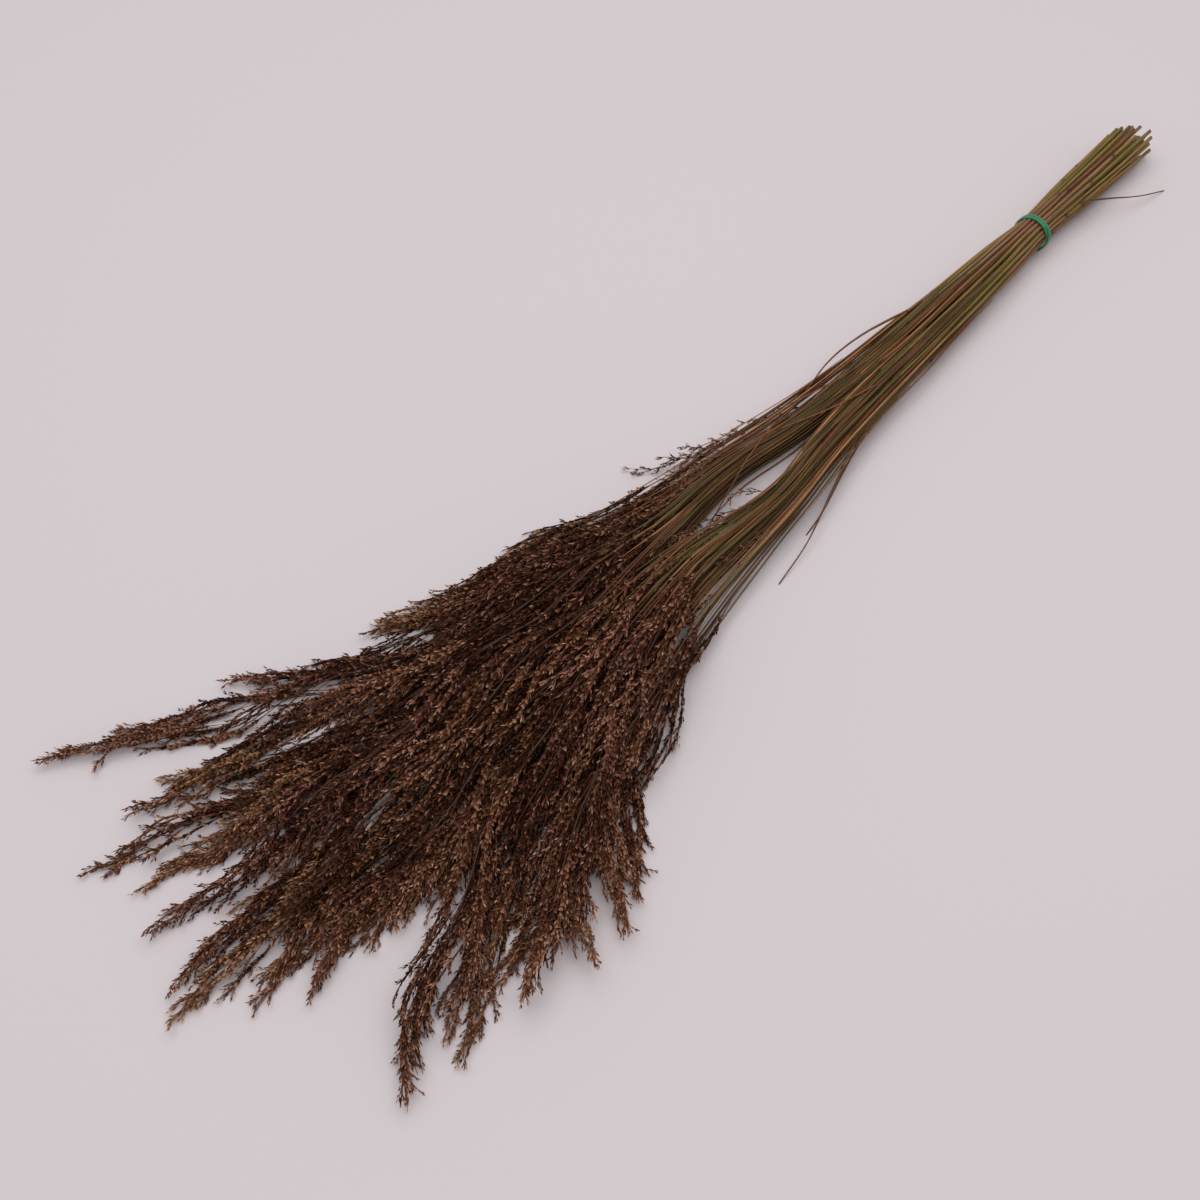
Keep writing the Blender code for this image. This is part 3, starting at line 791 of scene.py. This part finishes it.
def branch_place(plan, t):
    """The place on each branch, one to a row, at its own shares t of the way along it. The branch follows
    the culm's line, while its distance from it grows as 1 - (1 - t) squared of the plume's half width,
    which swells from the foot and shrinks to the point. The end curls to one side as t cubed and droops
    as t squared, and a smooth bend keeps it over the table."""
    names = ("start", "reach", "spread", "heading", "twist", "sway_size", "curl", "droop")
    start, reach, spread, heading, twist, sway_size, curl, droop = (plan[name][:, None] for name in names)
    length = start + reach * t
    swell = 0.45 + 0.55 * np.clip((length - plan["plume_from"]) / PLUME_FOOT, 0, 1)
    left = np.maximum(plan["whole"] + PLUME_PAST_TIP - length, 0.001)
    point = 1 - np.exp(-left / PLUME_POINT)
    off = PLUME_HALF_WIDTH * swell * point * spread * (1 - (1 - t) ** 2)
    turned = heading + twist * t
    swing = sway_size * t * np.sin(7.0 * t + plan["sway"][:, :, None])
    across = off * np.cos(turned) + swing[0] + curl * np.clip(t, 0, 2) ** 3
    upwards = off * PLUME_FLATNESS * np.sin(turned) + swing[1]
    place = on_line(plan["line"], "place", length)
    place = place + across[..., None] * on_line(plan["line"], "side", length)
    place = place + upwards[..., None] * on_line(plan["line"], "up", length)
    over = place[..., 2] - droop * np.clip(t, 0, 2) ** 2 - LOWEST_BRANCH
    place[..., 2] = LOWEST_BRANCH + 0.5 * (over + np.sqrt(over**2 + LOWEST_BEND**2))
    return place


def branch_heading(plan, t):
    """The direction of each branch there, from a little before to a little after."""
    return unit(branch_place(plan, t + 0.01) - branch_place(plan, t - 0.01))


def near_end(plan, t):
    """How near each branch is there to the plume's end: 0 behind the part painted lighter, 1 at the end."""
    left = plan["whole"] - plan["start"][:, None] - plan["reach"][:, None] * t
    return np.clip((END_REACH[0] - left) / END_REACH[1], 0, 1)


def ears(plan, chance):
    """The branches, each a bare stalk and then an ear: a tube of three sides, its rings turned by 76 degrees
    from one to the next, and by turns narrow and wide. Each wide ring is the points of one whorl of husks,
    which stands over the next. The ear thickens over its first eighth and thins over its last third.
    Gives the corners, the faces, the share t at which each face of an ear starts, and which of its
    corners are points."""
    branches = len(plan["start"])
    groove = np.arange(WHORLS) / WHORLS
    ring_at = STALK_SHARE + (1 - STALK_SHARE) * np.stack([groove, groove + 0.8 / WHORLS], 1).ravel()
    ring_at = np.r_[0, STALK_SHARE * 0.9, ring_at, 1.0]
    rings = len(ring_at)
    is_point = np.r_[0, 0, np.tile((0, 1), WHORLS), 1]
    taper = np.clip((1.03 - ring_at) / 0.30, 0.1, 1) ** 0.5 * np.clip((ring_at - STALK_SHARE) / 0.12, 0.3, 1)
    thick = np.array(WHORL_RADIUS)[is_point] * taper * (ring_at > STALK_SHARE - 0.001)
    thick = np.maximum(thick, STALK_RADIUS * (1.1 - ring_at))[:, None]
    thick = thick * np.where(plan["stray"], STRAY_THICKNESS, 1 + BELOW_THICKER * plan["below"])[:, None, None]
    each = (branches, rings, 3)
    thick = thick * (1 + is_point[:, None] * chance.uniform(*WHORL_UNEVEN, each))
    ahead = is_point[:, None] * chance.uniform(*WHORL_AHEAD, each) * plan["reach"][:, None, None] / WHORLS
    turn = THREE_SIDES + np.arange(rings)[:, None] * WHORL_TURN
    t = np.broadcast_to(ring_at, (branches, rings))
    middle, heading = branch_place(plan, t)[..., None, :], branch_heading(plan, t)
    corners = middle + thick[..., None] * ring_round(heading, turn) + ahead[..., None] * heading[..., None, :]
    walls, ends = tube_faces(rings, 3)
    faces = np.concatenate([walls[:, [0, 3, 1]], walls[:, [3, 2, 1]], ends[:, ::-1]])
    ring = faces // 3
    faces = faces + np.arange(branches)[:, None, None] * rings * 3
    return corners, faces, ring_at[ring[:, 0]], is_point[ring]


def branchlets(plan, chance):
    """The branchlets: spikes of three sides that leave the ears one after another, turned by the golden
    angle, and lean off by 14 to 34 degrees. Those nearer the end are shorter. Gives the share t at which
    each leaves its branch, its foot, its direction, its reach, and the corners and faces."""
    each = (len(plan["start"]), BRANCHLETS)
    t = (np.arange(BRANCHLETS) + chance.uniform(0.1, 0.9, each)) / BRANCHLETS
    t[plan["leader"]] **= 0.6
    t = STALK_SHARE + (1 - STALK_SHARE) * t
    foot = branch_place(plan, t)
    ahead = branch_heading(plan, t)
    lean = np.radians(chance.uniform(*BRANCHLET_LEAN, each))[..., None]
    round_it = np.arange(BRANCHLETS) * GOLDEN_TURN + chance.uniform(-0.6, 0.6, each)
    ahead = np.cos(lean) * ahead + np.sin(lean) * ring_round(ahead, round_it[..., None])[..., 0, :]
    reach = (BRANCHLET_LENGTH - BRANCHLET_SHORTER * t) * chance.uniform(0.65, 1.3, each)
    reach = reach * np.where(plan["stray"], STRAY_HUSKS, 1.0)[:, None]
    corners = foot[..., None, :] + BRANCHLET_RADIUS * ring_round(ahead, THREE_SIDES)
    corners = np.concatenate([corners, (foot + reach[..., None] * ahead)[..., None, :]], -2)
    faces = np.array(BRANCHLET_FACES) + np.arange(t.size)[:, None, None] * 4
    return t, foot, ahead, reach, corners, faces


def husks_on(foot, ahead, reach, stray, chance):
    """The loose husks along each branchlet, leaning off it by 6 to 22 degrees to one side and the other by
    turns. A husk is a folded boat of four faces: a foot, a point, and two sides at two fifths of its
    length."""
    each = (*reach.shape, HUSKS)
    share = HUSK_ZONE * (np.arange(HUSKS) + chance.uniform(0.10, 0.85, each)) / HUSKS
    lean = np.radians(chance.uniform(*HUSK_LEAN, each)) * np.where(np.arange(HUSKS) % 2, 1, -1)
    flat = chance.uniform(-0.9, 0.9, (*reach.shape, 1)) + chance.normal(0, 0.5, each)
    outward = ring_round(ahead, flat)
    ahead = ahead[..., None, :]
    axis = np.cos(lean)[..., None] * ahead + np.sin(lean)[..., None] * outward
    grows_at = foot[..., None, :] + (share * reach[..., None])[..., None] * ahead
    grows_at = grows_at + HUSK_OFF_THREAD * np.sign(lean)[..., None] * outward
    size = chance.uniform(*HUSK_LENGTH, each)[..., None] * axis
    sides = HUSK_SIDES + chance.uniform(0, 2 * math.pi, each)[..., None]
    half = chance.uniform(*HUSK_HALF_WIDTH, each) * np.where(stray, STRAY_HUSKS, 1.0)[:, None, None]
    belly = (grows_at + HUSK_BELLY * size)[..., None, :] + ring_round(axis, sides) * half[..., None, None]
    corners = np.stack([grows_at, grows_at + size, belly[..., 0, :], belly[..., 1, :]], -2)
    return corners, np.array(HUSK_FACES) + np.arange(share.size)[:, None, None] * 4


def on_card(plan, t, ear_at, ear_points, threads, chance):
    """Where the faces of a plume lie on the colour card. A husk's tone is the plume's own, plus its tuft's,
    plus more the further out it stands, a painted light that leaves the inner husks in painted shade, plus
    its own. Strays are paler; the plume's end is paler, a painted light; branches under the culm are darker,
    a painted shade. An ear's face takes the mean tone of its branch's husks, with its grooves darker, a
    painted shade, and its points paler. Gives the ears', the branchlets' and the husks' places in that order."""
    stray, below = plan["stray"], plan["below"]
    own_tone, own_hue = chance.normal(0, PLUME_TONE), chance.normal(*PLUME_HUE)
    by_tuft = chance.normal(0, TUFT_UNEVEN, (TUFTS + LEADERS, 2))[plan["tuft"]][:, None, None]
    outer = np.where(stray | plan["leader"], 1.0, plan["spread"])
    outer = (outer[:, None] * (1 - (1 - t) ** 2))[..., None]
    each = (*t.shape, HUSKS)
    # painted light outwards and painted shade inwards, by how far out the husk stands
    tone = HUSK_TONE + own_tone + by_tuft[..., 0] + OUTER_PAINTED_LIGHT * (outer - EVEN_SPREAD)
    # painted shade on the branches under the culm
    tone = tone - BELOW_PAINTED_SHADE * below[:, None, None]
    tone = tone + STRAY_PALER[0] * stray[:, None, None] + chance.normal(0, HUSK_UNEVEN, each)
    hue = own_hue + by_tuft[..., 1] + chance.normal(0, 0.06, each)
    ending = near_end(plan, t)[..., None]
    # painted light at the plume's end: a paler tone and a higher darkest tone
    tone = tone + END_PAINTED_LIGHT[0] + END_PAINTED_LIGHT[1] * ending
    darkest = DARKEST_HUSK[0] + (DARKEST_HUSK[1] - DARKEST_HUSK[0]) * ending
    across = np.clip(tone, darkest, PALEST_HUSK)[..., None] + np.array([0.0, HUSK_POINT_PALER, 0.0, 0.0])
    across[..., 0] -= HUSK_FOOT_DARKER[0] + (HUSK_FOOT_DARKER[1] - HUSK_FOOT_DARKER[0]) * ending
    upwards = np.clip(hue, *HUES)[..., None] + np.array([0.0, 0.0, HUE_STEP, -HUE_STEP])
    husks = np.stack([across, upwards], -1).reshape(-1, 4, 2)[:, HUSK_FACES]

    ear_tone = tone.mean((1, 2))[:, None] + chance.normal(0, EAR_UNEVEN, (len(stray), len(ear_at)))
    # the ears under the culm carry the same painted shade
    ear_tone = ear_tone[..., None] + (STRAY_PALER[1] * stray - BELOW_PAINTED_SHADE * below)[:, None, None]
    ending = near_end(plan, ear_at)[..., None]
    # painted shade in the ear's grooves, less of it near the plume's end
    groove = -EAR_GROOVE_PAINTED_SHADE + EAR_END_PAINTED_LIGHT[1] * ending
    # painted light: ears paler towards the plume's end
    across = np.clip(ear_tone + EAR_END_PAINTED_LIGHT[0] * ending, *EAR_TONES)
    across = across + np.where(ear_points, EAR_POINT_PALER, groove)
    upwards = hue.mean((1, 2))[:, None, None] + chance.normal(0, 0.05, ear_tone.shape)
    upwards = np.clip(upwards, *HUES) + np.array([0.0, HUE_STEP, -HUE_STEP])
    ears = np.stack([across, upwards], -1).reshape(-1, 2)
    return np.concatenate([ears, np.tile(BRANCHLET_ON_CARD, (threads, 1)), husks.reshape(-1, 2)])


def plume(number, line, plume_from, branches, chance):
    """One plume: its ears, branchlets and husks as one mesh of triangles, none of it below the table."""
    plan = branch_plan(line, plume_from, branches, chance)
    ear_corners, ear_faces, ear_at, ear_points = ears(plan, chance)
    t, foot, ahead, reach, spike_corners, spike_faces = branchlets(plan, chance)
    husk_corners, husk_faces = husks_on(foot, ahead, reach, plan["stray"], chance)
    parts = [part.reshape(-1, 3) for part in (ear_corners, spike_corners, husk_corners)]
    faces = [rows.reshape(-1, 3) for rows in (ear_faces, spike_faces, husk_faces)]
    shifts = np.cumsum([0] + [len(part) for part in parts[:2]])
    corners = np.concatenate(parts)
    corners[:, 2] = np.maximum(corners[:, 2], LOWEST_HUSK)
    layout = on_card(plan, t, ear_at, ear_points, len(faces[1]), chance)
    faces = np.concatenate([rows + shift for rows, shift in zip(faces, shifts)])
    return skin(f"reed_{number:02d}_plume", corners, [faces], layout, smooth=False)


husk_material = husk_finish()
covered = share_covered(reed_lines, plume_starts)
for number, (line, plume_from) in enumerate(zip(reed_lines, plume_starts), start=1):
    branches = round(np.interp(covered[number - 1], COVERED_SHARE, BRANCHES[::-1]))
    piece = plume(number, line, plume_from, branches, np.random.default_rng(500 + number))
    piece.data.materials.append(husk_material)
    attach(piece, "root")
    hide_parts(reed_names[number - 1])


# The loose leaf blades: six leaves that stand away from the sheaf, shrunk to copper-brown strips, rolled
# in on themselves along the middle and a little twisted.
BLADE_GAP = 0.002
BLADE_STEPS = 60
BLADE_CORNERS = 6
BLADE_SWELL = 1.1
BLADE_TWIST = 14.0
BLADE_RIPENESS = (0.15, 0.35)


def loose_blade(name, line, chance):
    """One loose blade: rolled as the clinging leaves are, with a radius a tenth over the solid's, and
    turned round the line by an angle that grows along it and sways as a sine."""
    length = line["length"]
    turned = chance.uniform(0, 6.28) + chance.uniform(-1, 1) * BLADE_TWIST * length
    turned = turned + 0.5 * np.sin(38 * length)
    radius = BLADE_SWELL * line["radius"]
    corners = rolled(line["place"], line["side"], line["up"], radius, turned, BLADE_CORNERS)
    faces = tube_faces(BLADE_STEPS, 2 * BLADE_CORNERS)
    piece = skin(name, corners, faces, tube_layout(BLADE_STEPS, 2 * BLADE_CORNERS, 2))
    paint(piece, ripeness=np.full(len(corners), chance.uniform(*BLADE_RIPENESS)))
    return piece


for name in sorted(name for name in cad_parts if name.startswith("leaf_blade_")):
    middle, radius = rings_of(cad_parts[name], BLADE_GAP)
    fine = smooth_through(np.c_[middle, radius], np.linspace(0, len(middle) - 1, 4 * BLADE_STEPS))
    line = line_along(fine[:, :3], fine[:, 3], BLADE_STEPS)
    piece = loose_blade(f"{name}_rolled", line, np.random.default_rng(int(name[-1])))
    piece.data.materials.append(leaf_material)
    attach(piece, "root")
    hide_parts(name)


# The rubber band: a green band of flat section, stretched twice round the culms and crossing over
# itself once, with fine ribs from the cutting and a dusty bloom.
STRAND_WIDTH = 0.00195
STRAND_DEPTH = 0.00115
STRAND_SIDES = 12
STRAND_STEPS = 240
STRAND_OFFSET = 0.00112
STRAND_LEAN = 0.16
STRAND_SQUARENESS = 0.6
STRAND_ROLL = 0.35
CROSSING_LIFT = 0.0012
CROSSING_REACH = 0.55
CROSSING_AT = math.radians(160)
CHANGEOVER = 3.0
RUBBER_COLOURS = ((0.25, (0.016, 0.130, 0.070)), (0.55, (0.040, 0.250, 0.130)), (0.80, (0.110, 0.390, 0.240)))


def rubber_finish():
    """Green rubber. The map runs round the strand and along it: ribs lie along it, bloom in patches."""
    finish, shader = new_finish("green_rubber_band", 0.42, 0.45)
    spread = add_node(finish, "ShaderNodeUVMap", uv_map="OFBake").outputs[0]
    ribs = add_noise(finish, spread, (110.0, 14.0, 1.0), 3.0)
    bloom = add_noise(finish, spread, (24.0, 24.0, 1.0), 4.0)
    finish.node_tree.links.new(add_colours(finish, bloom, RUBBER_COLOURS), shader.inputs["Base Color"])
    add_bump(finish, shader, ribs, 0.5)
    return finish


def rubber_band(low, high):
    """The band: a closed loop that goes twice round the sheaf. Going round by two full turns, the strand lies
    to one side on the first turn and to the other on the second, and is lifted where it crosses over.
    Its section is a rounded oblong, the cosine and sine of an angle each to the power 0.6, times half
    the width and half the depth, and it rolls a little as it goes."""
    middle = (low + high) / 2
    span = (high - low) / 2 - STRAND_WIDTH / 2
    angle = np.arange(STRAND_STEPS) * 4 * math.pi / STRAND_STEPS
    to_side = STRAND_OFFSET * np.tanh(CHANGEOVER * np.cos(angle / 2)) / math.tanh(CHANGEOVER)
    lift = CROSSING_LIFT * bell(angle, math.pi, CROSSING_REACH)
    turned = angle + CROSSING_AT - math.pi
    height = (span[2] - CROSSING_LIFT * 0.3 + lift) * np.sin(turned)
    place = np.stack(
        [
            middle[0] + to_side + STRAND_LEAN * height,
            middle[1] + (span[1] - CROSSING_LIFT * 0.6 + lift) * np.cos(turned),
            middle[2] + height,
        ],
        1,
    )
    along = unit(np.roll(place, -1, 0) - np.roll(place, 1, 0))
    outward = unit(place - middle - ((place - middle) * along).sum(1, keepdims=True) * along)
    outward[:, 0] *= 0.2
    outward = unit(outward)
    across = np.cross(along, outward)
    roll = STRAND_ROLL * np.sin(1.5 * angle + 0.6)
    roll = roll + np.arange(STRAND_SIDES)[:, None] * 2 * math.pi / STRAND_SIDES
    wide = np.sign(np.cos(roll)) * np.abs(np.cos(roll)) ** STRAND_SQUARENESS * STRAND_WIDTH / 2
    deep = np.sign(np.sin(roll)) * np.abs(np.sin(roll)) ** STRAND_SQUARENESS * STRAND_DEPTH / 2
    corners = place[:, None] + wide.T[..., None] * across[:, None] + deep.T[..., None] * outward[:, None]
    ring, turn = np.meshgrid(np.arange(STRAND_STEPS), np.arange(STRAND_SIDES), indexing="ij")
    here, there = ring * STRAND_SIDES, (ring + 1) % STRAND_STEPS * STRAND_SIDES
    beside = (turn + 1) % STRAND_SIDES
    faces = np.stack([here + turn, there + turn, there + beside, here + beside], -1).reshape(-1, 4)
    layout = tube_layout(STRAND_STEPS + 1, STRAND_SIDES, 6)[: 4 * len(faces)]
    return skin("rubber_band_loops", corners.reshape(-1, 3), [faces], layout)


low, high = (np.array(corner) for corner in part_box("rubber_band"))
piece = rubber_band(low, high)
piece.data.materials.append(rubber_finish())
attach(piece, "root")
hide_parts("rubber_band")
